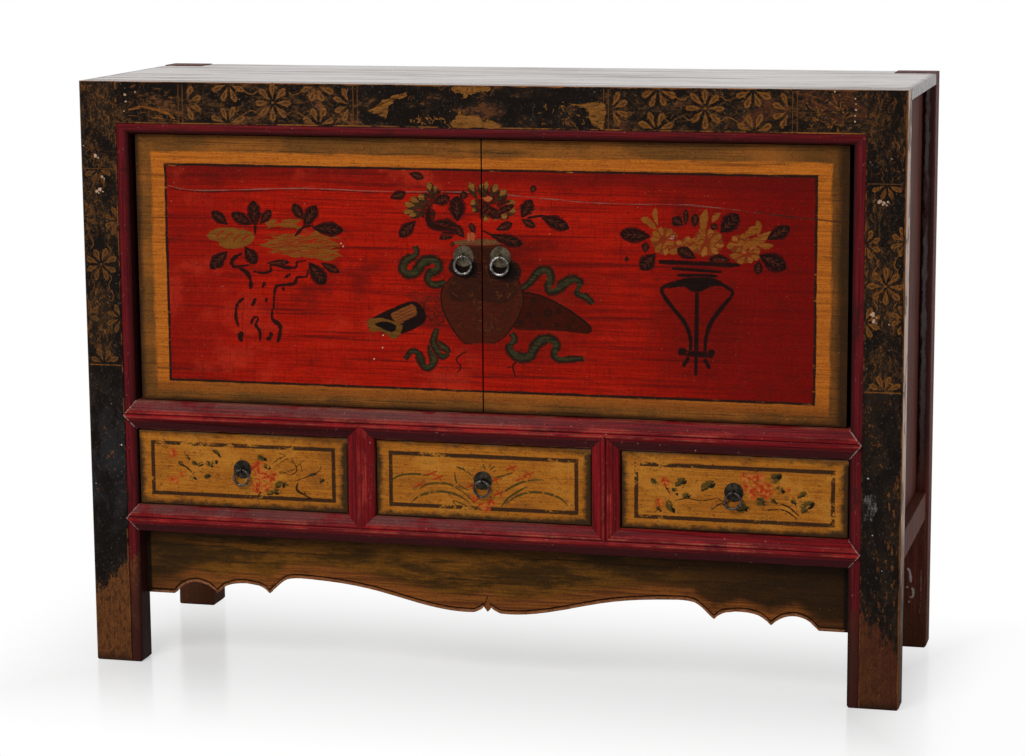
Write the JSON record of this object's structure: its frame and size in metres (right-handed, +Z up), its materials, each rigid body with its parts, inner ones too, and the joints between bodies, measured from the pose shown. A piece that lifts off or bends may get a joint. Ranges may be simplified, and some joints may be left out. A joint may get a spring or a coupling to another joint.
{
  "type": "sideboard",
  "caption": "Low painted wooden sideboard with plank doors over a row of drawers, ridged rails, a scalloped apron and iron ring pulls, standing on straight square legs.",
  "frame": {"origin": "on the floor under the middle of the bounding box", "axes": "+Z up, -Y towards the doors and drawers, +X towards the right-hand door seen from the front"},
  "size_m": [1.2, 0.3946, 0.866],
  "materials": {
    "black_paint": "worn satin paint",
    "red_paint": "worn satin paint",
    "door_paint": "worn satin paint",
    "ochre_paint": "worn satin paint",
    "olive_paint": "worn satin paint",
    "side_paint": "worn dull paint",
    "worn_top": "worn polished wood",
    "bare_wood": "bare aged wood",
    "iron": "hand-worked, rubbed bright"
  },
  "bodies": {
    "carcass": {"back_panel": "bare_wood", "back_post_left": "side_paint", "back_post_right": "side_paint", "back_rail": "bare_wood", "bottom_rail": "red_paint", "cupboard_floor": "bare_wood", "door_stop": "bare_wood", "drawer_divider_left": "red_paint", "drawer_divider_right": "red_paint", "drawer_runner_end_left": "bare_wood", "drawer_runner_end_right": "bare_wood", "drawer_runner_middle_left": "bare_wood", "drawer_runner_middle_right": "bare_wood", "front_apron": "olive_paint", "front_post_left": "black_paint", "front_post_right": "black_paint", "side_panel_left": "side_paint", "side_panel_right": "side_paint", "side_rail_left": "side_paint", "side_rail_right": "side_paint", "top_back_rail": "worn_top", "top_board_back": "worn_top", "top_board_front": "worn_top", "top_front_rail": "black_paint", "waist_rail": "red_paint"},
    "door_left": {"door_left_batten": "bare_wood", "door_left_plank_lower": "door_paint", "door_left_plank_upper": "door_paint", "door_left_pull_plate": "iron", "door_left_pull_staple": "iron", "door_left_stile": "door_paint"},
    "ring_door_left": {"door_left_pull_ring": "iron"},
    "door_right": {"door_right_batten": "bare_wood", "door_right_plank_lower": "door_paint", "door_right_plank_upper": "door_paint", "door_right_pull_plate": "iron", "door_right_pull_staple": "iron", "door_right_stile": "door_paint"},
    "ring_door_right": {"door_right_pull_ring": "iron"},
    "drawer_left": {"drawer_left_back": "bare_wood", "drawer_left_bottom": "bare_wood", "drawer_left_front": "ochre_paint", "drawer_left_pull_plate": "iron", "drawer_left_pull_staple": "iron", "drawer_left_sides": "bare_wood"},
    "ring_drawer_left": {"drawer_left_pull_ring": "iron"},
    "drawer_middle": {"drawer_middle_back": "bare_wood", "drawer_middle_bottom": "bare_wood", "drawer_middle_front": "ochre_paint", "drawer_middle_pull_plate": "iron", "drawer_middle_pull_staple": "iron", "drawer_middle_sides": "bare_wood"},
    "ring_drawer_middle": {"drawer_middle_pull_ring": "iron"},
    "drawer_right": {"drawer_right_back": "bare_wood", "drawer_right_bottom": "bare_wood", "drawer_right_front": "ochre_paint", "drawer_right_pull_plate": "iron", "drawer_right_pull_staple": "iron", "drawer_right_sides": "bare_wood"},
    "ring_drawer_right": {"drawer_right_pull_ring": "iron"}
  },
  "joints": [
    {"name": "left_door_swing", "type": "hinge", "parent": "carcass", "child": "door_left", "pos_m": [-0.507, -0.16975, 0.593], "axis": [0, 0, -1], "range_deg": [0, 100]},
    {"name": "right_door_swing", "type": "hinge", "parent": "carcass", "child": "door_right", "pos_m": [0.507, -0.16975, 0.593], "axis": [0, 0, 1], "range_deg": [0, 100]},
    {"name": "left_drawer_slide", "type": "slide", "parent": "carcass", "child": "drawer_left", "axis": [0, -1, 0], "range_m": [0, 0.2]},
    {"name": "middle_drawer_slide", "type": "slide", "parent": "carcass", "child": "drawer_middle", "axis": [0, -1, 0], "range_m": [0, 0.2]},
    {"name": "right_drawer_slide", "type": "slide", "parent": "carcass", "child": "drawer_right", "axis": [0, -1, 0], "range_m": [0, 0.2]},
    {"name": "door_left_ring_swing", "type": "hinge", "parent": "door_left", "child": "ring_door_left", "pos_m": [-0.027, -0.18485, 0.6225], "axis": [-1, 0, 0], "range_deg": [0, 95]},
    {"name": "door_right_ring_swing", "type": "hinge", "parent": "door_right", "child": "ring_door_right", "pos_m": [0.027, -0.18485, 0.6225], "axis": [-1, 0, 0], "range_deg": [0, 95]},
    {"name": "drawer_left_ring_swing", "type": "hinge", "parent": "drawer_left", "child": "ring_drawer_left", "pos_m": [-0.364, -0.19085, 0.3], "axis": [-1, 0, 0], "range_deg": [0, 95]},
    {"name": "drawer_middle_ring_swing", "type": "hinge", "parent": "drawer_middle", "child": "ring_drawer_middle", "pos_m": [0, -0.19085, 0.3], "axis": [-1, 0, 0], "range_deg": [0, 95]},
    {"name": "drawer_right_ring_swing", "type": "hinge", "parent": "drawer_right", "child": "ring_drawer_right", "pos_m": [0.364, -0.19085, 0.3], "axis": [-1, 0, 0], "range_deg": [0, 95]}
  ]
}
